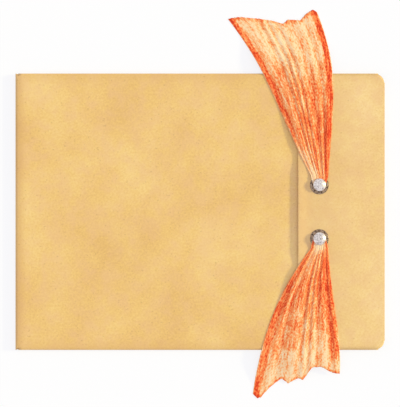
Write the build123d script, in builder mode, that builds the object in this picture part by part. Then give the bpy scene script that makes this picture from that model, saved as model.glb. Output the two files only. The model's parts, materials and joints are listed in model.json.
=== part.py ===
from build123d import *
import os

# A string tie envelope lying on its back: a folded manila pocket, a flap closed over its mouth at the right,
# two riveted studs on the flap and a pleated ribbon gathered under each stud.
# X runs from the closed end to the flap, Y along the short side and Z up out of the face, in millimetres.
# The origin is the middle of the back panel's underside.

# Paper blank
envelope_length = 304.8
envelope_height = 228.6
paper = 0.3
pocket_gap = 4.4
mouth_setback = 5.0
back_side_inset = 0.5
lap_width = 15.0
lap_mitre = 6.0
glue_film = 0.1
glue_margin = 2.0

# Closing flap and the two scores that it folds at
flap_depth = 71.4
flap_side_inset = 1.0
flap_free_corner = 6.0
score_corner = 7.0
score_clearance = 0.05

# Studs: a domed rivet through a bevelled washer, the flap and a burr behind it
stud_spacing = 44.2
stud_inset = 17.5
shank_diameter = 4.0
shank_clearance = 0.1
head_diameter = 10.5
head_height = 2.5
head_rim = 0.5
washer_diameter = 15.5
washer_height = 0.9
washer_rim = 0.35
burr_diameter = 11.0
burr_thickness = 0.5
burr_chamfer = 0.15
peen_diameter = 6.0
peen_height = 0.6
peen_clearance = 0.3

# Ribbons: pleats pinched under the stud's head, spreading to a ragged end past the envelope's edge
pleats = 5
pleat_flat = 0.4
cloth = 0.8
cloth_clearance = 0.35
pinch_clearance = 0.18
pleat_lead = 1.0
tuck_width = 7.0
tuck_length = 4.2
pinch_width = 12.5
neck_width = 14.6
neck_clearance = 0.4
bend_clearance = 0.3
neck_pleat_slope = 0.28
end_pleat_slope = 0.13
edge_lead = 4.0
fall_run = 30.0
tail_stations = 11
ragged_margin = 12.0

# Each ribbon: its overhang past the envelope's edge; where its edges run, across from the stud, at one third,
# two thirds and all of its reach; and its torn end, as shares of the width and how far each falls short
ribbons = {
    "upper": {
        "side": 1,
        "overhang": 53.8,
        "left": (-28.9, -50.7, -82.0),
        "right": (10.7, 10.0, -2.5),
        "torn_across": (-0.1, 0.13, 0.36, 0.48, 0.57, 0.65, 0.78, 0.87, 0.97, 1.1),
        "torn_short": (9.6, 6.6, 8.3, 9.9, 12.4, 8.7, 9.5, 4.2, 0.5, 9.7),
    },
    "lower": {
        "side": -1,
        "overhang": 41.0,
        "left": (-32.5, -47.5, -55.0),
        "right": (11.5, 16.6, 15.0),
        "torn_across": (-0.1, 0.06, 0.1, 0.19, 0.31, 0.4, 0.51, 0.57, 0.66, 0.77, 0.91, 1.1),
        "torn_short": (10.7, 0.5, 1.6, 9.9, 17.3, 13.2, 17.7, 16.0, 26.9, 27.5, 22.3, 20.5),
    },
}

# Heights above the table, from the pocket up to the studs
lap_bottom = paper + glue_film
front_bottom = paper + pocket_gap
front_top = front_bottom + paper
flap_bottom = front_top + peen_clearance + peen_height + burr_thickness
flap_top = flap_bottom + paper
washer_top = flap_top + washer_height
pinch_room = cloth + 2 * pinch_clearance
head_bottom = washer_top + pinch_room
neck_middle = washer_top + pinch_room / 2

# Places along X and Y
end_fold_radius = front_top / 2
end_fold_x = end_fold_radius - envelope_length / 2
side_fold_radius = (front_top - lap_bottom) / 2
side_fold_y = envelope_height / 2 - side_fold_radius
score_x = envelope_length / 2 - paper / 2
panel_end_x = score_x - paper / 2 - score_clearance
mouth_x = envelope_length / 2 - mouth_setback
flap_free_x = envelope_length / 2 - flap_depth
flap_height = envelope_height - 2 * flap_side_inset
stud_x = flap_free_x + stud_inset
hole_radius = shank_diameter / 2 + shank_clearance
bend_y = stud_spacing / 2 + washer_diameter / 2 + neck_clearance

os.makedirs("parts", exist_ok=True)


def keep(piece, name):
    """Labels a finished piece and writes it as a node of its own."""
    piece.part.label = name
    export_step(piece.part, f"parts/{name}.step")


# Back panel: the blank's lower sheet, rounded at the two ends of the scores
with BuildPart() as back_panel:
    with BuildSketch() as outline:
        with Locations((end_fold_x, 0)):
            Rectangle(
                panel_end_x - end_fold_x,
                envelope_height - 2 * back_side_inset,
                align=(Align.MIN, Align.CENTER),
            )
        fillet(outline.vertices().group_by(Axis.X)[-1], radius=score_corner)
    extrude(amount=paper)
keep(back_panel, "back_panel")

# Front panel: the face of the pocket, between the folds and the mouth
with BuildPart() as front_panel:
    with BuildSketch(Plane.XY.offset(front_bottom)):
        with Locations((end_fold_x, 0)):
            Rectangle(mouth_x - end_fold_x, 2 * side_fold_y, align=(Align.MIN, Align.CENTER))
    extrude(amount=paper)
keep(front_panel, "front_panel")


def rolled_fold(plane, outer_radius):
    """The section of paper rolled through a half turn, open towards the plane's +X."""
    with BuildSketch(plane) as section:
        Circle(outer_radius)
        Circle(outer_radius - paper, mode=Mode.SUBTRACT)
        Rectangle(
            outer_radius,
            2 * outer_radius,
            align=(Align.MIN, Align.CENTER),
            mode=Mode.SUBTRACT,
        )
    return section.sketch


# Closed end: one fold across the whole height joins the back panel to the front panel
end_fold_plane = Plane(
    (end_fold_x, envelope_height / 2, end_fold_radius),
    x_dir=(1, 0, 0),
    z_dir=(0, -1, 0),
)
with BuildPart() as closed_end_fold:
    extrude(rolled_fold(end_fold_plane, end_fold_radius), amount=envelope_height)
keep(closed_end_fold, "closed_end_fold")

for name, ribbon in ribbons.items():
    side = ribbon["side"]

    # Side fold: the front panel's long edge, rolled under towards the back panel
    side_fold_plane = Plane(
        (end_fold_x, side * side_fold_y, lap_bottom + side_fold_radius),
        x_dir=(0, -side, 0),
        z_dir=(1, 0, 0),
    )
    with BuildPart() as side_fold:
        extrude(rolled_fold(side_fold_plane, side_fold_radius), amount=mouth_x - end_fold_x)
    keep(side_fold, f"{name}_side_fold")

    # Seam lap: the strip past the side fold, inside the pocket, mitred at both ends
    lap_middle = side * (side_fold_y - lap_width / 2)
    with BuildPart() as seam_lap:
        with BuildSketch(Plane.XY.offset(lap_bottom)) as outline:
            with Locations(((end_fold_x + mouth_x) / 2, lap_middle)):
                Rectangle(mouth_x - end_fold_x, lap_width)
            inner_corners = outline.vertices().sort_by(lambda corner: side * corner.Y)[:2]
            chamfer(inner_corners, length=lap_mitre)
        extrude(amount=paper)
    keep(seam_lap, f"{name}_seam_lap")

    # Seam glue: the film that holds the lap to the back panel
    glue_length = mouth_x - end_fold_x - 2 * (lap_mitre + glue_margin)
    with BuildPart() as seam_glue:
        with BuildSketch(Plane.XY.offset(paper)):
            with Locations(((end_fold_x + mouth_x) / 2, lap_middle)):
                Rectangle(glue_length, lap_width - 2 * glue_margin)
        extrude(amount=glue_film)
    keep(seam_glue, f"{name}_seam_glue")

# Flap spine: the strip between the two scores, rounded at both where the paper turns
score_rise = flap_top - paper
with BuildPart() as flap_spine:
    spine_length = flap_height - 2 * score_corner
    with BuildSketch(Plane((score_x, spine_length / 2, flap_top / 2), x_dir=(0, 0, 1), z_dir=(0, -1, 0))):
        SlotCenterToCenter(score_rise, paper)
    extrude(amount=spine_length)
keep(flap_spine, "flap_spine")

# Closing flap: a sheet with rounded corners and two punched holes
stud_places = [(stud_x, ribbon["side"] * stud_spacing / 2) for ribbon in ribbons.values()]
with BuildPart() as closing_flap:
    with BuildSketch(Plane.XY.offset(flap_bottom)) as outline:
        with Locations((flap_free_x, 0)):
            Rectangle(panel_end_x - flap_free_x, flap_height, align=(Align.MIN, Align.CENTER))
        fillet(outline.vertices().group_by(Axis.X)[-1], radius=score_corner)
        fillet(outline.vertices().group_by(Axis.X)[0], radius=flap_free_corner)
        with Locations(*stud_places):
            Circle(hole_radius, mode=Mode.SUBTRACT)
    extrude(amount=paper)
keep(closing_flap, "closing_flap")


def pleated_section(y, left, right, middle, pleat):
    """A cut across a ribbon at y: pressed pleats, up and down by turns, one cloth thickness deep."""
    half_pleat = (right - left) / (2 * pleats)
    wave = [(left, middle)]
    for count in range(2 * pleats):
        centre = left + (count + 0.5) * half_pleat
        level = middle + (pleat if count % 2 == 0 else -pleat)
        wave.append((centre - pleat_flat * half_pleat / 2, level))
        wave.append((centre + pleat_flat * half_pleat / 2, level))
    wave.append((right, middle))
    upper_face = [(x, z + cloth / 2) for x, z in wave]
    lower_face = [(x, z - cloth / 2) for x, z in reversed(wave)]
    with BuildSketch(Plane.XZ.offset(-y)) as section:
        with BuildLine():
            Polyline(*upper_face, *lower_face, close=True)
        make_face()
    return section.sketch


def between(first, second, third, last, share):
    """A smooth run through four values, evenly spaced, at a share of the way from the first to the last."""
    step = 3 * share
    return (
        first * (1 - step) * (2 - step) * (3 - step) / 6
        + second * step * (2 - step) * (3 - step) / 2
        + third * step * (step - 1) * (3 - step) / 2
        + last * step * (step - 1) * (step - 2) / 6
    )


def ribbon_edges(ribbon, share):
    """Where a ribbon's left and right edges lie at a share of its reach."""
    left = between(-neck_width / 2, *ribbon["left"], share)
    right = between(neck_width / 2, *ribbon["right"], share)
    return stud_x + left, stud_x + right


def eased(share):
    """A share held between 0 and 1, with a soft start and end."""
    held = min(max(share, 0), 1)
    return held * held * (3 - 2 * held)


def pleat_rise(width, share):
    """How far the pleats stand up and down where a ribbon has this width, at a share of its reach."""
    slope = neck_pleat_slope + (end_pleat_slope - neck_pleat_slope) * share
    return slope * width / (2 * pleats)


for name, ribbon in ribbons.items():
    side = ribbon["side"]
    stud_y = side * stud_spacing / 2
    stud_plane = Plane((stud_x, stud_y, 0), x_dir=(1, 0, 0), z_dir=(0, -1, 0))
    stud_axis = Axis((stud_x, stud_y, 0), (0, 0, 1))

    # Rivet: domed head, shank and the end that is headed over behind the burr, turned as one profile
    burr_bottom = flap_bottom - burr_thickness
    with BuildPart() as rivet:
        with BuildSketch(stud_plane):
            with BuildLine():
                TangentArc(
                    (0, head_bottom + head_height),
                    (head_diameter / 2, head_bottom + head_rim),
                    tangent=(1, 0),
                )
                Polyline(
                    (head_diameter / 2, head_bottom + head_rim),
                    (head_diameter / 2, head_bottom),
                    (shank_diameter / 2, head_bottom),
                    (shank_diameter / 2, burr_bottom),
                    (peen_diameter / 2, burr_bottom),
                )
                TangentArc((0, burr_bottom - peen_height), (peen_diameter / 2, burr_bottom), tangent=(1, 0))
                Line((0, burr_bottom - peen_height), (0, head_bottom + head_height))
            make_face()
        revolve(axis=stud_axis)
    keep(rivet, f"{name}_rivet")

    # Washer: a ring on the flap, level under the head and bevelled to a thin rim
    with BuildPart() as washer:
        with BuildSketch(stud_plane):
            with BuildLine():
                Polyline(
                    (hole_radius, flap_top),
                    (washer_diameter / 2, flap_top),
                    (washer_diameter / 2, flap_top + washer_rim),
                    (head_diameter / 2, washer_top),
                    (hole_radius, washer_top),
                    close=True,
                )
            make_face()
        revolve(axis=stud_axis)
    keep(washer, f"{name}_washer")

    # Burr: the flat ring behind the flap that the rivet is headed over
    with BuildPart() as burr:
        with BuildSketch(Plane((stud_x, stud_y, burr_bottom))):
            Circle(burr_diameter / 2)
            Circle(hole_radius, mode=Mode.SUBTRACT)
        extrude(amount=burr_thickness)
        lower_rim = burr.edges().filter_by(GeomType.CIRCLE).group_by(Axis.Z)[0].sort_by(SortBy.RADIUS)[-1]
        chamfer(lower_rim, length=burr_chamfer)
    keep(burr, f"{name}_burr")

    # Ribbon gather: the bunched end on the shank, pressed flat under the head and pleated to the neck
    tuck_end = stud_y - side * tuck_length
    pleat_start = stud_y + side * (head_diameter / 2 + pleat_lead)
    neck_end = side * (bend_y - bend_clearance)
    with BuildPart() as gather:
        with BuildSketch(Plane.XY.offset(neck_middle - cloth / 2)):
            with BuildLine():
                Polyline(
                    (stud_x - tuck_width / 2, tuck_end),
                    (stud_x + tuck_width / 2, tuck_end),
                    (stud_x + pinch_width / 2, pleat_start),
                    (stud_x - pinch_width / 2, pleat_start),
                    close=True,
                )
            make_face()
            with Locations((stud_x, stud_y)):
                Circle(hole_radius, mode=Mode.SUBTRACT)
        extrude(amount=cloth)
        loft(
            [
                pleated_section(y, stud_x - width / 2, stud_x + width / 2, neck_middle, pleat_rise(width, 0))
                for y, width in ((pleat_start, pinch_width), (neck_end, neck_width))
            ],
            ruled=True,
        )
    keep(gather, f"{name}_ribbon_gather")

    # Ribbon tail: lies along the flap, bends over the envelope's edge and comes to rest on the table
    flap_run = envelope_height / 2 - bend_y
    reach = flap_run + ribbon["overhang"]
    sections = [
        pleated_section(side * bend_y, *ribbon_edges(ribbon, 0), neck_middle, pleat_rise(neck_width, 0))
    ]
    for station in range(1, tail_stations + 1):
        share = station / tail_stations
        run = share * reach
        left, right = ribbon_edges(ribbon, share)
        pleat = pleat_rise(right - left, share)
        fallen = eased((run - flap_run - edge_lead) / fall_run)
        middle = cloth_clearance + (1 - fallen) * flap_top + pleat + cloth / 2
        sections.append(pleated_section(side * (bend_y + run), left, right, middle, pleat))
    tip = bend_y + reach
    torn_edge = []
    for across, short in zip(ribbon["torn_across"], ribbon["torn_short"]):
        left, right = ribbon_edges(ribbon, 1 - short / reach)
        torn_edge.append((left + across * (right - left), side * (tip - short)))
    beyond = side * (tip + ragged_margin)
    with BuildPart() as tail:
        loft(sections)
        with BuildSketch():
            with BuildLine():
                Polyline(
                    *torn_edge,
                    (torn_edge[-1][0] + ragged_margin, beyond),
                    (torn_edge[0][0] - ragged_margin, beyond),
                    close=True,
                )
            make_face()
        extrude(amount=2 * head_bottom, both=True, mode=Mode.SUBTRACT)
    keep(tail, f"{name}_ribbon_tail")
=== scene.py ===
import json
import math

import bmesh
import bpy
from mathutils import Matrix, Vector, noise


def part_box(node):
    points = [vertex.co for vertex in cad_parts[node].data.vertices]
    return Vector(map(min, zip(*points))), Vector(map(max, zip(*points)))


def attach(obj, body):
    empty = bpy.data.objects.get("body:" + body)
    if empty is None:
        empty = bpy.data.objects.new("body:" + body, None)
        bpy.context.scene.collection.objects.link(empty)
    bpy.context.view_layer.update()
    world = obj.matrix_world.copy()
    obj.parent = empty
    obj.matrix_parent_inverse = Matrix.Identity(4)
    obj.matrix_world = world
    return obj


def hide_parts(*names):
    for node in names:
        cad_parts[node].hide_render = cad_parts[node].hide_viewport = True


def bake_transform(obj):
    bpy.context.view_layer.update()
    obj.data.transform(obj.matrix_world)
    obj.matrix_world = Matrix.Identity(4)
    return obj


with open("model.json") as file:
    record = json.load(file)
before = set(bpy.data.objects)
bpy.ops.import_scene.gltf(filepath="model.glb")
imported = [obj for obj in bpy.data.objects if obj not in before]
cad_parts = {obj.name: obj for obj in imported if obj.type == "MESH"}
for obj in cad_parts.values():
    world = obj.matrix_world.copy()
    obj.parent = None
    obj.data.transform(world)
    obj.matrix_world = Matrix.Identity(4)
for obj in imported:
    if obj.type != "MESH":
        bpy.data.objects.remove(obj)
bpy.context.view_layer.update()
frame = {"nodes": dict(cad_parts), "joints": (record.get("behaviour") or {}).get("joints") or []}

# Pocket: a blank of manila tag, a stiff buff paper, folded round at the closed end and along both long sides.
# The side laps are glued inside to the back panel, and the back panel runs on to the first score and half way
# up the spine, where the flap's sheet takes over.
mm = 0.001
touching = 0.001 * mm
front_low, front_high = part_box("front_panel")
back_low, back_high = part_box("back_panel")
lap_low, lap_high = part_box("upper_seam_lap")
hinges = {joint["name"]: Vector(joint["pos_m"]) for joint in frame["joints"]}
paper = front_high.z - front_low.z
front_level = (front_low.z + front_high.z) / 2
back_level = (back_low.z + back_high.z) / 2
lap_level = (lap_low.z + lap_high.z) / 2
side_fold_level = (front_level + lap_level) / 2
end_fold_level = (front_level + back_level) / 2
end_fold_radius = front_level - end_fold_level
end_fold_x = front_low.x
mouth_x = front_high.x
middle_x = (mouth_x + end_fold_x) / 2
side_fold_y = front_high.y
edge_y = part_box("closed_end_fold")[1].y
back_half = back_high.y
back_start = 0.2 * mm
lap_reach = side_fold_y - lap_low.y
lap_mitre = 6.0 * mm
score_x = hinges["spine_score"].x
score_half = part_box("flap_spine")[1].y
score_corner = 7.0 * mm
crease = 0.4 * mm
crease_turns = [math.radians(degrees) for degrees in (0, 31.5, 63, 90)]
spine_foot = 1.5 * mm
spine_middle = (hinges["spine_score"].z + hinges["flap_score"].z) / 2
ripple = 0.16 * mm
ripple_length = 34.0 * mm
ripple_layer = 0.3
ripple_fade = 30.0 * mm
ripple_end_x = 82.0 * mm
ripple_end_run = 20.0 * mm


def eased(share):
    """A share held between 0 and 1, with a soft start and end."""
    held = min(max(share, 0.0), 1.0)
    return held * held * (3.0 - 2.0 * held)


def quarter(steps):
    """The turns of a quarter circle, in even steps up to its end."""
    return [math.radians(90) * step / steps for step in range(1, steps + 1)]


def only(kind, parts):
    """The parts of one kind, such as edges, among those that an operator gives back."""
    return [part for part in parts if isinstance(part, kind)]


def open_edge(sheet, axis, value):
    """The open edge of a sheet that lies at one value of X, Y or Z."""
    return [
        edge
        for edge in sheet.edges
        if edge.is_boundary and all(abs(vert.co[axis] - value) < touching for vert in edge.verts)
    ]


def extend(sheet, edges, x, half, level):
    """Grows a sheet from an open edge to a straight row across it, and returns the new edge."""
    grown = bmesh.ops.extrude_edge_only(sheet, edges=edges)["geom"]
    row = set(only(bmesh.types.BMVert, grown))
    widest = max(abs(vert.co.y) for vert in row)
    for vert in row:
        vert.co = (x, vert.co.y * half / widest, level)
    return [edge for edge in only(bmesh.types.BMEdge, grown) if all(vert in row for vert in edge.verts)]


def finished(name, shape, thickness=None):
    """A shape as a smooth object. A sheet is given its thickness, half on each side."""
    mesh = bpy.data.meshes.new(name)
    shape.to_mesh(mesh)
    shape.free()
    mesh.shade_smooth()
    piece = bpy.data.objects.new(name, mesh)
    bpy.context.scene.collection.objects.link(piece)
    if thickness:
        wall = piece.modifiers.new("thickness", "SOLIDIFY")
        wall.thickness = thickness
        wall.offset = 0.0
    return piece


blank = bmesh.new()
front = bmesh.ops.create_grid(blank, x_segments=100, y_segments=76, size=0.5)["verts"]
bmesh.ops.scale(blank, vec=(mouth_x - end_fold_x, 2 * side_fold_y, 1), verts=front)
bmesh.ops.translate(blank, vec=(middle_x, 0, front_level), verts=front)
closed_end = open_edge(blank, 0, end_fold_x)
long_sides = {side: open_edge(blank, 1, side * side_fold_y) for side in (1, -1)}
mitred = 1 - 2 * lap_mitre / (mouth_x - end_fold_x)
for side, edges in long_sides.items():
    rolled = bmesh.ops.spin(
        blank,
        geom=edges,
        cent=(0, side * side_fold_y, side_fold_level),
        axis=(1, 0, 0),
        angle=-side * math.pi,
        steps=10,
    )["geom_last"]
    lap = bmesh.ops.extrude_edge_only(blank, edges=only(bmesh.types.BMEdge, rolled))["geom"]
    lap_edge = only(bmesh.types.BMVert, lap)
    bmesh.ops.translate(blank, vec=(0, -side * lap_reach, 0), verts=lap_edge)
    for vert in lap_edge:
        vert.co.x = middle_x + (vert.co.x - middle_x) * mitred
rolled = bmesh.ops.spin(
    blank,
    geom=closed_end,
    cent=(end_fold_x, 0, end_fold_level),
    axis=(0, 1, 0),
    angle=-math.pi,
    steps=12,
)["geom_last"]
for vert in blank.verts:
    if vert.co.x < end_fold_x - touching:
        outward = (end_fold_x - vert.co.x) / end_fold_radius
        under = 1 - outward if vert.co.z < end_fold_level else 0
        widened = (edge_y - side_fold_y) * outward + (back_half - side_fold_y) * under
        vert.co.y *= 1 + widened / side_fold_y
edge = only(bmesh.types.BMEdge, rolled)
corner_x = score_x - crease - score_corner
# The back panel's rows start a little past the fold's last one, so that no two rows lie together.
for x in (end_fold_x, end_fold_x / 2, 0, corner_x / 2, corner_x):
    edge = extend(blank, edge, x + back_start, back_half, back_level)
for turn in quarter(8):
    half = score_half + (back_half - score_half) * math.cos(turn)
    edge = extend(blank, edge, corner_x + score_corner * math.sin(turn), half, back_level)
for turn in crease_turns[1:]:
    x = score_x - crease * (1 - math.sin(turn))
    edge = extend(blank, edge, x, score_half, back_level + crease * (1 - math.cos(turn)))
for level in (spine_foot, spine_middle):
    edge = extend(blank, edge, score_x, score_half, level)
for vert in front:
    wave = noise.noise(Vector((vert.co.x / ripple_length, vert.co.y / ripple_length, ripple_layer)))
    from_side = eased((side_fold_y - abs(vert.co.y)) / ripple_fade)
    from_end = eased((vert.co.x - end_fold_x) / ripple_fade)
    from_flap = eased((ripple_end_x - vert.co.x) / ripple_end_run)
    vert.co.z += ripple * wave * from_side * from_end * from_flap
bmesh.ops.recalc_face_normals(blank, faces=blank.faces)
pocket = finished("manila_pocket", blank, paper)


def shade(code):
    """An sRGB hex colour as linear values for a shader."""
    parts = [int(code[start : start + 2], 16) / 255 for start in (1, 3, 5)]
    linear = [part / 12.92 if part <= 0.04045 else ((part + 0.055) / 1.055) ** 2.4 for part in parts]
    return (*linear, 1.0)


def add(tree, kind, inputs=None, stops=None, **settings):
    """Adds a node with its settings, its ramp's stops in order, and a value or a link for each input."""
    node = tree.nodes.new(kind)
    for name, value in settings.items():
        setattr(node, name, value)
    if stops:
        ramp = node.color_ramp.elements
        ramp[0].position = stops[0][0]
        ramp[1].position = stops[-1][0]
        for place, code in stops[1:-1]:
            ramp.new(place)
        for element, (place, code) in zip(ramp, stops):
            element.color = shade(code)
    for name, value in (inputs or {}).items():
        if isinstance(value, bpy.types.NodeSocket):
            tree.links.new(value, node.inputs[name])
        else:
            node.inputs[name].default_value = value
    return node


def new_material(name):
    """A new material, its node tree and its surface shader."""
    material = bpy.data.materials.new(name)
    material.use_nodes = True
    return material, material.node_tree, material.node_tree.nodes["Principled BSDF"]


def manila_tag(name, stops, wear_and_shade_x, wear_and_shade_run):
    """Manila tag: unbleached pulp pressed smooth, so buff, clouded where its fibres lie thicker, and matt.

    Bits of bark stay in it as flecks. It is grubbier along its long sides. Its spine is darkened towards the
    score as painted shade, where the low lamp lights it strongly. Over a run from a given edge it darkens
    towards
    that edge: at the pocket's closed end this is wear where hands hold it; at the flap's free edge it is wear
    where hands lift it and also painted shade, which tones down the lifted edge where the lamp catches it.
    """
    paper_stock, tree, surface = new_material(name)
    place = add(tree, "ShaderNodeTexCoord").outputs["Object"]
    cloud_size = 60 * mm
    patch_size = 14 * mm
    blush_size = 9 * mm
    fleck_size = 1.4 * mm
    # Pulp fibres are a tenth of a millimetre wide, and are drawn coarser here so that they show.
    fibre_size = 1.6 * mm
    tooth_depth = 0.06 * mm
    grubby_from, grubby_to = 103 * mm, 114 * mm
    clouds = add(tree, "ShaderNodeTexNoise", {"Vector": place, "Scale": 1 / cloud_size, "Detail": 2.0})
    patches = add(
        tree,
        "ShaderNodeTexNoise",
        {"Vector": place, "Scale": 1 / patch_size, "Detail": 3.0, "Roughness": 0.65},
    )
    fibres = add(tree, "ShaderNodeTexNoise", {"Vector": place, "Scale": 1 / fibre_size, "Detail": 2.0})
    broad = add(
        tree,
        "ShaderNodeMath",
        {0: patches.outputs["Fac"], 1: 0.35, 2: clouds.outputs["Fac"]},
        operation="MULTIPLY_ADD",
    )
    pulp = add(
        tree,
        "ShaderNodeMath",
        {0: fibres.outputs["Fac"], 1: 0.75, 2: broad.outputs[0]},
        operation="MULTIPLY_ADD",
    )
    evened = add(tree, "ShaderNodeMath", {0: pulp.outputs[0], 1: 2.1}, operation="DIVIDE")
    buff = add(tree, "ShaderNodeValToRGB", {"Fac": evened.outputs[0]}, stops=stops)
    blushes = add(tree, "ShaderNodeTexNoise", {"Vector": place, "Scale": 1 / blush_size, "Detail": 3.0})
    rosy = add(
        tree,
        "ShaderNodeMapRange",
        {"Value": blushes.outputs["Fac"], "From Min": 0.38, "From Max": 0.66, "To Max": 0.4},
    )
    pulp_tone = add(
        tree,
        "ShaderNodeMix",
        {0: rosy.outputs["Result"], 6: buff.outputs["Color"], 7: shade("#ecc08f")},
        data_type="RGBA",
    )
    across = add(tree, "ShaderNodeSeparateXYZ", {"Vector": place})
    from_middle = add(tree, "ShaderNodeMath", {0: across.outputs["Y"]}, operation="ABSOLUTE")
    rubbed_sides = add(
        tree,
        "ShaderNodeMapRange",
        {"Value": from_middle.outputs[0], "From Min": grubby_from, "From Max": grubby_to, "To Max": 0.3},
        interpolation_type="SMOOTHSTEP",
    )
    # Darker towards one edge: wear at the pocket's closed end; at the flap's free edge, wear and also painted
    # shade that tones down the lifted edge where the lamp catches it.
    from_edge = add(tree, "ShaderNodeMath", {0: across.outputs["X"], 1: wear_and_shade_x}, operation="SUBTRACT")
    edge_wear_and_shade = add(
        tree,
        "ShaderNodeMapRange",
        {"Value": from_edge.outputs[0], "From Min": wear_and_shade_run, "From Max": 0.0, "To Max": 0.5},
        interpolation_type="SMOOTHSTEP",
    )
    # Painted shade: the spine is darkened towards and past its score, as the low lamp at the right lights it
    # strongly.
    painted_spine_shade = add(
        tree,
        "ShaderNodeMapRange",
        {"Value": across.outputs["X"], "From Min": score_x - crease, "From Max": score_x, "To Max": 0.8},
    )
    # Wear along the sides and edges, together with the painted shade on the spine and the flap's edge.
    wear_and_shade = rubbed_sides.outputs["Result"]
    for rubbed in (edge_wear_and_shade, painted_spine_shade):
        most = add(tree, "ShaderNodeMath", {0: rubbed.outputs["Result"], 1: wear_and_shade}, operation="MAXIMUM")
        wear_and_shade = most.outputs[0]
    tint = add(
        tree,
        "ShaderNodeMix",
        {0: wear_and_shade, 6: pulp_tone.outputs[2], 7: shade("#d9ab6e")},
        data_type="RGBA",
    )
    bark = add(tree, "ShaderNodeTexNoise", {"Vector": place, "Scale": 1 / fleck_size, "Detail": 0.0})
    specks = add(
        tree,
        "ShaderNodeMapRange",
        {"Value": bark.outputs["Fac"], "From Min": 0.74, "From Max": 0.84, "To Max": 0.25},
    )
    flecked = add(
        tree,
        "ShaderNodeMix",
        {0: specks.outputs["Result"], 6: tint.outputs[2], 7: shade("#a97d45")},
        data_type="RGBA",
    )
    tooth = add(
        tree,
        "ShaderNodeBump",
        {"Height": fibres.outputs["Fac"], "Strength": 0.25, "Distance": tooth_depth},
    )
    matt = add(tree, "ShaderNodeMapRange", {"Value": fibres.outputs["Fac"], "To Min": 0.72, "To Max": 0.9})
    tree.links.new(flecked.outputs[2], surface.inputs["Base Color"])
    tree.links.new(matt.outputs["Result"], surface.inputs["Roughness"])
    tree.links.new(tooth.outputs["Normal"], surface.inputs["Normal"])
    surface.inputs["Specular IOR Level"].default_value = 0.25
    return paper_stock


buff_stops = [(0.36, "#e4b870"), (0.5, "#efc77a"), (0.64, "#f6d48b")]
pocket.data.materials.append(manila_tag("manila_tag_pocket", buff_stops, wear_and_shade_x=end_fold_x, wear_and_shade_run=8 * mm))
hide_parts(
    "front_panel",
    "back_panel",
    "closed_end_fold",
    "upper_side_fold",
    "lower_side_fold",
    "upper_seam_lap",
    "lower_seam_lap",
)
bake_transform(pocket)

# Seam glue: envelope gum brushed on and dried between each lap and the back panel.
# It stays inside the seam as a thin amber film, glossier than the paper.
brush_mark = 3 * mm
gum_stops = [(0.3, "#c79a4e"), (0.7, "#dcb56c")]
gum, tree, surface = new_material("dried_gum")
place = add(tree, "ShaderNodeTexCoord").outputs["Object"]
drying = add(tree, "ShaderNodeTexNoise", {"Vector": place, "Scale": 1 / brush_mark, "Detail": 2.0})
amber = add(tree, "ShaderNodeValToRGB", {"Fac": drying.outputs["Fac"]}, stops=gum_stops)
tree.links.new(amber.outputs["Color"], surface.inputs["Base Color"])
surface.inputs["Roughness"].default_value = 0.35
for name in ("upper_seam_glue", "lower_seam_glue"):
    frame["nodes"][name].data.materials.clear()
    frame["nodes"][name].data.materials.append(gum)

# Closing flap: the same sheet of manila, scored twice so that it turns up the spine and over the mouth.
# Its corners are rounded, two holes are punched for the studs, and its free edge stands a little off the
# paper between the ribbons.
flap_low, flap_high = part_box("closing_flap")
rivet_low, rivet_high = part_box("upper_rivet")
flap_level = hinges["flap_score"].z
flap_half = flap_high.y
flap_free_x = flap_low.x
free_corner = 6.0 * mm
spine_head = 4.9 * mm
stud_x = (rivet_low.x + rivet_high.x) / 2
stud_y = (rivet_low.y + rivet_high.y) / 2
hole_radius = 2.1 * mm
hole_sides = 16
punch_reach = 3 * hole_radius
edge_lift = 0.9 * mm
lift_run = 9.5 * mm
lift_half = 44.0 * mm
lift_fade = 14.0 * mm
rows = 20

sheet = bmesh.new()
strip = bmesh.ops.create_grid(sheet, x_segments=76, y_segments=1, size=0.5)["verts"]
for vert in strip:
    vert.co = (score_x, 2 * vert.co.x * score_half, spine_head if vert.co.y > 0 else spine_middle)
edge = open_edge(sheet, 2, spine_head)
for turn in crease_turns:
    x = score_x - crease * (1 - math.cos(turn))
    edge = extend(sheet, edge, x, score_half, flap_level - crease * (1 - math.sin(turn)))
start_x = score_x - crease - score_corner
for turn in quarter(8):
    half = score_half + (flap_half - score_half) * math.sin(turn)
    edge = extend(sheet, edge, start_x + score_corner * math.cos(turn), half, flap_level)
corner_x = flap_free_x + free_corner
for step in range(1, rows + 1):
    edge = extend(sheet, edge, start_x + (corner_x - start_x) * step / rows, flap_half, flap_level)
for turn in quarter(6):
    half = flap_half - free_corner * (1 - math.cos(turn))
    edge = extend(sheet, edge, corner_x - free_corner * math.sin(turn), half, flap_level)
for side in (1, -1):
    centre = Vector((stud_x, side * stud_y, flap_level))
    for step in range(hole_sides):
        angle = 2 * math.pi * step / hole_sides
        outward = Vector((math.cos(angle), math.sin(angle), 0))
        near = [face for face in sheet.faces if (face.calc_center_median() - centre).length < punch_reach]
        around = {part for face in near for part in (*face.verts, *face.edges)}
        bmesh.ops.bisect_plane(
            sheet,
            geom=[*near, *around],
            plane_co=centre + outward * hole_radius,
            plane_no=outward,
        )
    punched = [face for face in sheet.faces if (face.calc_center_median() - centre).length < hole_radius]
    bmesh.ops.delete(sheet, geom=punched, context="FACES")
for vert in sheet.verts:
    if vert.co.z > flap_level - touching:
        free = eased(1 - (vert.co.x - flap_free_x) / lift_run)
        between_ribbons = eased((lift_half - abs(vert.co.y)) / lift_fade)
        vert.co.z += edge_lift * free * between_ribbons
bmesh.ops.recalc_face_normals(sheet, faces=sheet.faces)
flap = finished("manila_flap", sheet, paper)
pale_stops = [(0.36, "#eac27e"), (0.5, "#f4d18c"), (0.64, "#fbdd9d")]
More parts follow.
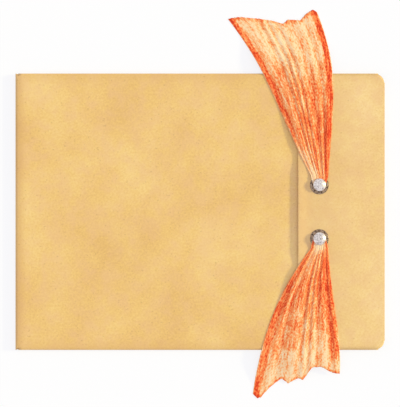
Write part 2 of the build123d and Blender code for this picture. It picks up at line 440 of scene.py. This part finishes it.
# Towards its free edge the flap darkens with wear and with painted shade, which tones down the lifted edge
# where the lamp catches it.
flap.data.materials.append(manila_tag("manila_tag_flap", pale_stops, wear_and_shade_x=flap_free_x, wear_and_shade_run=60 * mm))
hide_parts("closing_flap", "flap_spine")
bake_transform(flap)

# Studs: a domed rivet of plated steel goes down through the ribbon's end, a bevelled washer, the flap and a
# burr, and is headed over behind. The head is bright from handling. The washer is tarnished, and its dark
# colour also stands for the shade round the head, so it is partly painted shade.
washer_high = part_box("upper_washer")[1]
burr_low, burr_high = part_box("upper_burr")
flap_top = flap_high.z
head_top = rivet_high.z
head_bottom = head_top - 2.5 * mm
head_radius = rivet_high.x - stud_x
head_rim = 0.5 * mm
shank_radius = 2.0 * mm
washer_top = washer_high.z
washer_radius = washer_high.x - stud_x
washer_rim = 0.35 * mm
burr_top = burr_high.z
burr_bottom = burr_low.z
burr_radius = burr_high.x - stud_x
peen_radius = 3.0 * mm
peen_rim = 0.1 * mm
peen_bottom = rivet_low.z
softened = 0.1 * mm
sharp_turn = math.radians(20)


def dome(radius, rim_level, top_level, steps):
    """Points of a round cap's profile, from its middle to its rim."""
    rise = top_level - rim_level
    bow = (radius * radius + rise * rise) / (2 * rise)
    reach = math.asin(radius / abs(bow))
    turns = [reach * step / steps for step in range(steps + 1)]
    return [(abs(bow) * math.sin(turn), top_level - bow * (1 - math.cos(turn))) for turn in turns]


def turned(name, profile, side):
    """A piece turned round a stud's axis from its profile of radius and level, its edges softened."""
    lathe = bmesh.new()
    points = [lathe.verts.new((stud_x + radius, side * stud_y, level)) for radius, level in profile]
    chain = [lathe.edges.new(pair) for pair in zip(points, points[1:])]
    bmesh.ops.spin(
        lathe,
        geom=[*points, *chain],
        cent=(stud_x, side * stud_y, 0),
        axis=(0, 0, 1),
        angle=2 * math.pi,
        steps=56,
        use_merge=True,
    )
    bmesh.ops.remove_doubles(lathe, verts=lathe.verts, dist=touching)
    bmesh.ops.recalc_face_normals(lathe, faces=lathe.faces)
    joined = [edge for edge in lathe.edges if len(edge.link_faces) == 2]
    bmesh.ops.bevel(
        lathe,
        geom=[edge for edge in joined if edge.calc_face_angle() > sharp_turn],
        offset=softened,
        segments=3,
        profile=0.5,
        affect="EDGES",
        material=-1,
    )
    return finished(name, lathe)


def plated_metal(name, stops, smoothest, roughest, pit_size):
    """Plated steel with a speckle of pits and tarnish, which breaks up its reflections."""
    metal, tree, surface = new_material(name)
    place = add(tree, "ShaderNodeTexCoord").outputs["Object"]
    pit_depth = 0.1 * mm
    speckle = add(tree, "ShaderNodeTexNoise", {"Vector": place, "Scale": 1 / pit_size, "Detail": 3.0})
    tarnish = add(tree, "ShaderNodeValToRGB", {"Fac": speckle.outputs["Fac"]}, stops=stops)
    rubbed = add(
        tree,
        "ShaderNodeMapRange",
        {
            "Value": speckle.outputs["Fac"],
            "From Min": 0.3,
            "From Max": 0.7,
            "To Min": roughest,
            "To Max": smoothest,
        },
    )
    pits = add(
        tree,
        "ShaderNodeBump",
        {"Height": speckle.outputs["Fac"], "Strength": 0.3, "Distance": pit_depth},
    )
    tree.links.new(tarnish.outputs["Color"], surface.inputs["Base Color"])
    tree.links.new(rubbed.outputs["Result"], surface.inputs["Roughness"])
    tree.links.new(pits.outputs["Normal"], surface.inputs["Normal"])
    surface.inputs["Metallic"].default_value = 1.0
    return metal


# Pits in worn plating are a tenth of a millimetre wide, and are drawn coarser here so that they show.
bright = plated_metal(
    "bright_nickel_plate",
    [(0.3, "#857c7a"), (0.46, "#cbc2c1"), (0.64, "#ece5e4")],
    smoothest=0.28,
    roughest=0.45,
    pit_size=1.3 * mm,
)
# Tarnished plate for the washers and burrs, made dark enough to stand for the shade round each head: partly
# painted shade.
tarnish_and_shade_plate = plated_metal(
    "tarnished_and_shaded_nickel_plate",
    [(0.34, "#3a2e2b"), (0.48, "#86705f"), (0.66, "#b39a86")],
    smoothest=0.4,
    roughest=0.6,
    pit_size=1.2 * mm,
)
rivet_profile = [
    *dome(head_radius, head_bottom + head_rim, head_top, 10),
    (head_radius, head_bottom),
    (shank_radius, head_bottom),
    (shank_radius, burr_bottom),
    (peen_radius, burr_bottom),
    *reversed(dome(peen_radius, burr_bottom - peen_rim, peen_bottom, 5)),
]
washer_profile = [
    (hole_radius, flap_top),
    (washer_radius, flap_top),
    (washer_radius, flap_top + washer_rim),
    (head_radius, washer_top),
    (hole_radius, washer_top),
    (hole_radius, flap_top),
]
burr_profile = [
    (hole_radius, burr_bottom),
    (burr_radius, burr_bottom),
    (burr_radius, burr_top),
    (hole_radius, burr_top),
    (hole_radius, burr_bottom),
]
for name, side in (("upper", 1), ("lower", -1)):
    for part, profile, metal, slot in (
        ("rivet", rivet_profile, bright, "stud"),
        ("washer", washer_profile, tarnish_and_shade_plate, "washer"),
        ("burr", burr_profile, tarnish_and_shade_plate, "washer"),
    ):
        piece = turned(f"{name}_{part}_turned", profile, side)
        piece.data.materials.append(metal)
        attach(piece, "flap")
        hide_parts(f"{name}_{part}")

# Ribbons: one strip of soft dyed cotton under each stud, bunched on the rivet and fanning out in loose
# pleats. It lies over the flap, bends down past the envelope's edge to the table and ends in a torn,
# frayed edge.
gather_low, gather_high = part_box("upper_ribbon_gather")
front_top = front_high.z
cloth = 0.35 * mm
neck = hinges["upper_ribbon_lift"].y - stud_y
neck_half = gather_high.x - stud_x
pinch = 5.0 * mm
pinch_half = 6.7 * mm
tuck = stud_y - gather_low.y
tuck_half = 3.6 * mm
pierced_radius = 1.25 * hole_radius
edge_lead = 4.0 * mm
fall_run = 30.0 * mm
cloth_air = 0.12 * mm
washer_air = 0.15 * mm
sink_x = flap_free_x + 0.5 * mm
sink_run = 20.0 * mm
bunched = 30.0 * mm
hem_share = 0.07
fold_depth = 0.72
fold_change = 0.45
fold_patch = 45.0 * mm
fold_patches = 5
lee_flank_turn = math.radians(50)

# Along a ribbon, by distance from its stud: half its width up to the neck, how high its pleats stand, and
# what it lies on.
half_along = [(-tuck, tuck_half), (pinch, pinch_half), (neck, neck_half)]
rise_along = [
    (-tuck, 0.1 * mm),
    (5.3 * mm, 0.1 * mm),
    (14.0 * mm, 0.45 * mm),
    (34.0 * mm, 0.5 * mm),
    (70.0 * mm, 0.42 * mm),
    (150.0 * mm, 0.22 * mm),
]
bed_along = [
    (-tuck, washer_top + washer_air),
    (5.3 * mm, washer_top + washer_air),
    (8.0 * mm, flap_top + 0.55 * mm),
    (16.0 * mm, flap_top + cloth_air),
]

# Threads of the torn end: how far they stick out, how many across, and which layer of the noise they take.
frays = [(0.5 * mm, 34, 0), (0.35 * mm, 75, 4)]

# How unevenly the pleats lie: the share of the width, the turns across it, and times the ribbon's seed.
wanders = [(0.054, 7.1, 1), (0.03, 15.7, 2)]

# Each ribbon's shape: the strip it is cut from, its overhang past the envelope's edge, and where its edges
# run, across from the stud, at one third, two thirds and all of its reach. Its torn end is given as shares
# of the width, with the millimetres by which each falls short.
# Then its dye, as depths from black to white: along and across the strip, on its left (Y) and right (Z)
# selvedge, and where it is painted paler next to the stud as a painted highlight.
ribbons = {
    "upper": {
        "side": 1,
        "tie": "upper_tie",
        "seed": 3.0,
        "folds": 6.5,
        "flat": (0.080, 0.150),
        "cut": 0.0082,
        "overhang": 53.8 * mm,
        "left": (-28.9 * mm, -50.7 * mm, -82.0 * mm),
        "right": (10.7 * mm, 10.0 * mm, -2.5 * mm),
        "torn": [
            (-0.1, 9.6),
            (0.13, 6.6),
            (0.36, 8.3),
            (0.48, 9.9),
            (0.57, 12.4),
            (0.65, 8.7),
            (0.78, 9.5),
            (0.87, 4.2),
            (0.97, 0.5),
            (1.1, 9.7),
        ],
        "dye_start": (20.0, 4.1, 0.0),
        "along": [
            (0.08, "#b8b8b8"),
            (0.34, "#e0e0e0"),
            (0.46, "#d2d2d2"),
            (0.6, "#d2d2d2"),
            (0.78, "#646464"),
            (1.0, "#5a5a5a"),
        ],
        "across": [
            (0.1, "#bcbcbc"),
            (0.14, "#a0a0a0"),
            (0.2, "#c0c0c0"),
            (0.42, "#b8b8b8"),
            (0.7, "#cacaca"),
            (0.9, "#bcbcbc"),
        ],
        "selvedges": [
            {"gap": "Y", "wide": 5.0 * mm, "depth": 1.0, "along": [(0.0, "#000000"), (0.45, "#ffffff")]},
            {"gap": "Z", "wide": 5.4 * mm, "depth": 1.15, "along": [(0.0, "#000000"), (0.05, "#ffffff")]},
        ],
        # Painted highlight: paler cloth next to the stud.
        "rubbed": {
            "to": 0.26,
            "depth": 0.5,
            "across": [(0.0, "#ffffff"), (0.25, "#ffffff"), (0.5, "#000000")],
        },
    },
    "lower": {
        "side": -1,
        "tie": "lower_tie",
        "seed": 8.0,
        "folds": 6.0,
        "flat": (0.076, 0.138),
        "cut": 0.0074,
        "overhang": 41.0 * mm,
        "left": (-32.5 * mm, -47.5 * mm, -55.0 * mm),
        "right": (11.5 * mm, 16.6 * mm, 15.0 * mm),
        "torn": [
            (-0.1, 10.7),
            (0.06, 0.5),
            (0.1, 1.6),
            (0.19, 9.9),
            (0.31, 17.3),
            (0.4, 13.2),
            (0.51, 17.7),
            (0.57, 16.0),
            (0.66, 26.9),
            (0.77, 27.5),
            (0.91, 22.3),
            (1.1, 20.5),
        ],
        "dye_start": (5.0, 9.3, 0.0),
        "along": [
            (0.1, "#a4a4a4"),
            (0.25, "#cccccc"),
            (0.42, "#e4e4e4"),
            (0.54, "#c2c2c2"),
            (0.74, "#b0b0b0"),
            (0.83, "#787878"),
            (1.0, "#5a5a5a"),
        ],
        "across": [
            (0.1, "#cecece"),
            (0.27, "#b4b4b4"),
            (0.43, "#c4c4c4"),
            (0.58, "#aaaaaa"),
            (0.74, "#d0d0d0"),
            (0.9, "#e6e6e6"),
        ],
        "selvedges": [
            {"gap": "Y", "wide": 6.0 * mm, "depth": 0.87, "along": [(0.0, "#000000"), (0.05, "#ffffff")]},
            {
                "gap": "Z",
                "wide": 8.0 * mm,
                "depth": 0.87,
                "along": [(0.0, "#000000"), (0.05, "#ffffff"), (0.82, "#ffffff"), (0.96, "#808080")],
            },
        ],
        # Painted highlight: paler cloth next to the stud.
        "rubbed": {
            "to": 0.15,
            "depth": 0.9,
            "across": [(0.1, "#000000"), (0.3, "#ffffff"), (0.75, "#ffffff"), (0.9, "#000000")],
        },
    },
}


def between(first, second, third, last, share):
    """A smooth run through four values, evenly spaced, at a share of the way from the first to the last."""
    step = 3 * share
    return (
        first * (1 - step) * (2 - step) * (3 - step) / 6
        + second * step * (2 - step) * (3 - step) / 2
        + third * step * (step - 1) * (3 - step) / 2
        + last * step * (step - 1) * (step - 2) / 6
    )


def along_line(points, at):
    """The height of a line through points, each with its place and height, at a place."""
    for (first, low), (second, high) in zip(points, points[1:]):
        if at <= second:
            return low + (high - low) * max(at - first, 0) / (second - first)
    return points[-1][1]


def dyed_cotton(name, ribbon):
    """Cotton dyed unevenly: vermilion along its selvedges, orange in the middle of the strip.

    It is washed out to cream towards the torn end, and painted paler next to the stud as a painted highlight.
    The dye runs along the cloth in streaks and catches its slubs. Each pleat's flank that faces away from the
    low lamp is painted deeper as painted shade.
    """
    dyed, tree, surface = new_material(name)
    strip_uv = add(tree, "ShaderNodeUVMap", uv_map="cut").outputs["UV"]
    run = add(tree, "ShaderNodeSeparateXYZ", {"Vector": strip_uv}).outputs
    lie = add(tree, "ShaderNodeAttribute", attribute_name="lie").outputs["Vector"]
    laid_out = add(tree, "ShaderNodeSeparateXYZ", {"Vector": lie}).outputs
    width, length = ribbon["flat"]
    # Slubs are a third of a millimetre thick, and threads are as far apart. Both are drawn coarser here so
    # that they show.
    grains = {
        "streaks": (3.4 * mm, 60.0 * mm),
        "veins": (2.8 * mm, 14.0 * mm),
        "slubs": (1.4 * mm, 2.0 * mm),
    }
    thread = 1.0 * mm
    weave_depth = 0.12 * mm
    # The folds entry carries the painted shade on each pleat's flank away from the lamp.
    mottle = {"folds": laid_out["X"]}
    for grain, (wide, long) in grains.items():
        laid = add(
            tree,
            "ShaderNodeMapping",
            {
                "Vector": strip_uv,
                "Scale": (width / wide, length / long, 1.0),
                "Location": ribbon["dye_start"],
            },
        )
        mottle[grain] = add(
            tree,
            "ShaderNodeTexNoise",
            {"Vector": laid.outputs[0], "Scale": 1.0, "Detail": 1.5},
        ).outputs["Fac"]
    slanted = add(
        tree,
        "ShaderNodeMath",
        {0: run["X"], 1: 0.1, 2: run["Y"]},
        operation="MULTIPLY_ADD",
    )
    brushed = add(
        tree,
        "ShaderNodeMath",
        {0: mottle["streaks"], 1: 0.35, 2: slanted.outputs[0]},
        operation="MULTIPLY_ADD",
    )
    along_strip = add(tree, "ShaderNodeMath", {0: brushed.outputs[0], 1: 0.22}, operation="SUBTRACT")
    depth_along = add(tree, "ShaderNodeValToRGB", {"Fac": along_strip.outputs[0]}, stops=ribbon["along"])
    depth_across = add(tree, "ShaderNodeValToRGB", {"Fac": run["X"]}, stops=ribbon["across"])
    thinned = add(
        tree,
        "ShaderNodeMath",
        {0: depth_along.outputs["Color"], 1: depth_across.outputs["Color"]},
        operation="MULTIPLY",
    )
    dye = add(tree, "ShaderNodeMath", {0: thinned.outputs[0], 1: 2.0}, operation="MULTIPLY")
    for selvedge in ribbon["selvedges"]:
        inwards = add(
            tree,
            "ShaderNodeMath",
            {0: laid_out[selvedge["gap"]], 1: 2 * selvedge["wide"]},
            operation="DIVIDE",
        )
        band = add(
            tree,
            "ShaderNodeValToRGB",
            {"Fac": inwards.outputs[0]},
            stops=[(0.0, "#707070"), (0.08, "#ffffff"), (0.42, "#ffffff"), (0.64, "#000000")],
        )
        stretch = add(tree, "ShaderNodeValToRGB", {"Fac": run["Y"]}, stops=selvedge["along"])
        deepest = add(
            tree,
            "ShaderNodeMath",
            {0: band.outputs["Color"], 1: selvedge["depth"]},
            operation="MULTIPLY",
        )
        dipped = add(
            tree,
            "ShaderNodeMath",
            {0: deepest.outputs[0], 1: stretch.outputs["Color"]},
            operation="MULTIPLY",
        )
        dye = add(tree, "ShaderNodeMath", {0: dipped.outputs[0], 1: dye.outputs[0]}, operation="MAXIMUM")
    torn_line = add(
        tree,
        "ShaderNodeMapRange",
        {"Value": run["Y"], "From Min": 0.975, "From Max": 0.99, "To Max": 0.45},
    )
    dye = add(tree, "ShaderNodeMath", {0: torn_line.outputs["Result"], 1: dye.outputs[0]}, operation="ADD")
    # Painted highlight: the cloth is painted paler next to the stud.
    rubbed = ribbon["rubbed"]
    stud_highlight = add(
        tree,
        "ShaderNodeMapRange",
        {"Value": run["Y"], "From Min": rubbed["to"], "From Max": 0.07, "To Max": -rubbed["depth"]},
    )
    stud_highlight_across = add(tree, "ShaderNodeValToRGB", {"Fac": run["X"]}, stops=rubbed["across"])
    dye = add(
        tree,
        "ShaderNodeMath",
        {0: stud_highlight.outputs["Result"], 1: stud_highlight_across.outputs["Color"], 2: dye.outputs[0]},
        operation="MULTIPLY_ADD",
    )
    # The folds term adds the painted shade on the pleats' flanks away from the lamp.
    for grain, strength in (("folds", 0.3), ("streaks", 0.5), ("veins", 2.0), ("slubs", 2.2)):
        dye = add(
            tree,
            "ShaderNodeMath",
            {0: mottle[grain], 1: strength, 2: dye.outputs[0]},
            operation="MULTIPLY_ADD",
        )
    taken = add(tree, "ShaderNodeMapRange", {"Value": dye.outputs[0], "From Min": 2.14, "From Max": 3.79})
    colour = add(
        tree,
        "ShaderNodeValToRGB",
        {"Fac": taken.outputs["Result"]},
        stops=[
            (0.0, "#ffe3b6"),
            (0.25, "#ffd29a"),
            (0.5, "#ffa55e"),
            (0.72, "#fb793d"),
            (0.9, "#ee5223"),
            (1.0, "#d8401a"),
        ],
    )
    threads = add(
        tree,
        "ShaderNodeMapping",
        {"Vector": strip_uv, "Scale": (width / thread, length / thread, 1.0)},
    )
    warp = add(
        tree,
        "ShaderNodeTexWave",
        {"Vector": threads.outputs[0], "Scale": 0.5, "Distortion": 1.5},
        bands_direction="DIAGONAL",
    )
    woven = add(tree, "ShaderNodeMath", {0: warp.outputs["Fac"], 1: mottle["slubs"]}, operation="ADD")
    cloth_bump = add(
        tree,
        "ShaderNodeBump",
        {"Height": woven.outputs[0], "Strength": 0.3, "Distance": weave_depth},
    )
    tree.links.new(colour.outputs["Color"], surface.inputs["Base Color"])
    tree.links.new(cloth_bump.outputs["Normal"], surface.inputs["Normal"])
    surface.inputs["Roughness"].default_value = 0.8
    surface.inputs["Specular IOR Level"].default_value = 0.2
    surface.inputs["Sheen Weight"].default_value = 0.15
    return dyed


for name, ribbon in ribbons.items():
    side = ribbon["side"]
    seed = ribbon["seed"]
    reach = edge_y + ribbon["overhang"] - stud_y - neck
    weave = bmesh.new()
    weave.loops.layers.uv.new("cut")
    # A point's lie: how deep the painted shade is on its pleat's flank away from the lamp, and how far in it
    # is from the left and right selvedge.
    lie = weave.verts.layers.float_vector.new("lie")
    bmesh.ops.create_grid(weave, x_segments=130, y_segments=150, size=0.5, calc_uvs=True)
    for vert in weave.verts:
        u, v = vert.co.x + 0.5, vert.co.y + 0.5
        fray = sum(deep * noise.noise(Vector((u * count, seed, layer))) for deep, count, layer in frays)
        torn = neck + reach - along_line(ribbon["torn"], u) * mm - fray
        along = -tuck + (torn + tuck) * v
        if along < neck:
            right = along_line(half_along, along)
            left = -right
        else:
            left = between(-neck_half, *ribbon["left"], (along - neck) / reach)
            right = between(neck_half, *ribbon["right"], (along - neck) / reach)
        x = stud_x + left + (right - left) * u
        wander = sum(much * math.sin(turns * u + times * seed) for much, turns, times in wanders)
        phase = 2 * math.pi * ribbon["folds"] * (u + wander)
        patch = noise.noise(Vector((u * fold_patches, along / fold_patch, seed)))
        depth = fold_depth + fold_change * patch
        # Painted shade: deeper dye on the flank of each pleat that faces away from the low lamp at the right.
        lee_flank_shade = (0.5 - 0.5 * math.cos(phase - lee_flank_turn)) * depth
        spread = max(right - left, bunched)
        vert[lie] = (lee_flank_shade, u * spread, (1 - u) * spread)
        rise = along_line(rise_along, along) * depth * eased(min(u, 1 - u) / hem_share)
        fallen = eased((along + stud_y - edge_y - edge_lead) / fall_run)
        sunk = (flap_top - front_top) * eased((sink_x - x) / sink_run)
        bed = along_line(bed_along, along) - sunk * eased((along - sink_run) / sink_run)
        level = bed + (cloth_air - bed) * fallen
        vert.co = (x, side * (stud_y + along), level + cloth / 2 + rise * (1 + math.cos(phase)))
    axis = Vector((stud_x, side * stud_y, 0))
    pierced = [
        face for face in weave.faces if (face.calc_center_median() - axis).xy.length < pierced_radius
    ]
    bmesh.ops.delete(weave, geom=pierced, context="FACES")
    bmesh.ops.recalc_face_normals(weave, faces=weave.faces)
    piece = finished(f"{name}_ribbon", weave, cloth)
    piece.data.materials.append(dyed_cotton(f"{name}_dyed_cotton", ribbon))
    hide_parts(f"{name}_ribbon_gather", f"{name}_ribbon_tail")
    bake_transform(piece)

# Table: a plain white top under the envelope, wide enough to fill every view.
# To the camera it is mostly bare white and keeps only a faint shadow.
table_half = 4.0
shadow_hidden = 0.8
top = bmesh.new()
bmesh.ops.create_grid(top, x_segments=8, y_segments=8, size=table_half)
floor = finished("table_top", top)
white, tree, matt_white = new_material("white_table")
matt_white.inputs["Base Color"].default_value = shade("#fafafa")
matt_white.inputs["Roughness"].default_value = 0.9
matt_white.inputs["Specular IOR Level"].default_value = 0.0
bare = add(tree, "ShaderNodeEmission", {"Color": shade("#ffffff"), "Strength": 1.0})


def looking(tree):
    """1 on rays that show a backdrop to the eye, straight or in metal or glass, and 0 on rays of light."""
    rays = add(tree, "ShaderNodeLightPath").outputs
    mirrored = add(
        tree,
        "ShaderNodeMath",
        {0: rays["Is Glossy Ray"], 1: rays["Is Transmission Ray"]},
        operation="MAXIMUM",
    )
    return add(
        tree,
        "ShaderNodeMath",
        {0: rays["Is Camera Ray"], 1: mirrored.outputs[0]},
        operation="MAXIMUM",
    ).outputs[0]


seen = add(tree, "ShaderNodeMath", {0: looking(tree), 1: shadow_hidden}, operation="MULTIPLY")
mixed = add(
    tree,
    "ShaderNodeMixShader",
    {0: seen.outputs[0], 1: matt_white.outputs[0], 2: bare.outputs[0]},
)
tree.links.new(mixed.outputs[0], tree.nodes["Material Output"].inputs["Surface"])
floor.data.materials.append(white)

# Light: a pale room, brighter overhead than at its walls, and one low warm lamp at the right, which rakes the
# pleats and throws the flap's edge as a soft band of shade. Together they show a colour as it is written.
lamp_rise = math.radians(20)
lamp_turn = math.radians(8)
room = bpy.data.worlds.new("pale_room")
room.use_nodes = True
bpy.context.scene.world = room
tree = room.node_tree
sky = tree.nodes["Background"]
direction = add(tree, "ShaderNodeTexCoord").outputs["Generated"]
height = add(tree, "ShaderNodeSeparateXYZ", {"Vector": direction})
overhead = add(
    tree,
    "ShaderNodeValToRGB",
    {"Fac": height.outputs["Z"]},
    stops=[(0.0, "#b0afc0"), (1.0, "#f1f0ff")],
)
view = add(
    tree,
    "ShaderNodeMix",
    {0: looking(tree), 6: overhead.outputs["Color"], 7: shade("#ffffff")},
    data_type="RGBA",
)
tree.links.new(view.outputs[2], sky.inputs["Color"])
sky.inputs["Strength"].default_value = 1.03
lamp_data = bpy.data.lights.new("low_lamp", "SUN")
lamp_data.energy = 2.4
lamp_data.angle = math.radians(7)
lamp_data.color = shade("#fffab4")[:3]
lamp = bpy.data.objects.new("low_lamp", lamp_data)
lamp.rotation_euler = (0, math.radians(90) - lamp_rise, lamp_turn)
bpy.context.scene.collection.objects.link(lamp)

# Camera: straight over the envelope with a long lens, as the picture is drawn.
# 407 pixels of the picture's height span 335.8 mm at the height of the paper.
picture_height = 335.8 * mm
picture_x = 0.2 * mm
picture_y = 6.8 * mm
camera_data = bpy.data.cameras.new("over_envelope")
camera_data.lens = 100
camera_data.sensor_width = 36
distance = picture_height * camera_data.lens / camera_data.sensor_width
camera = bpy.data.objects.new("over_envelope", camera_data)
camera.location = (picture_x, picture_y, front_top + distance)
bpy.context.scene.collection.objects.link(camera)
bpy.context.scene.camera = camera
bpy.context.scene.view_settings.view_transform = "Standard"
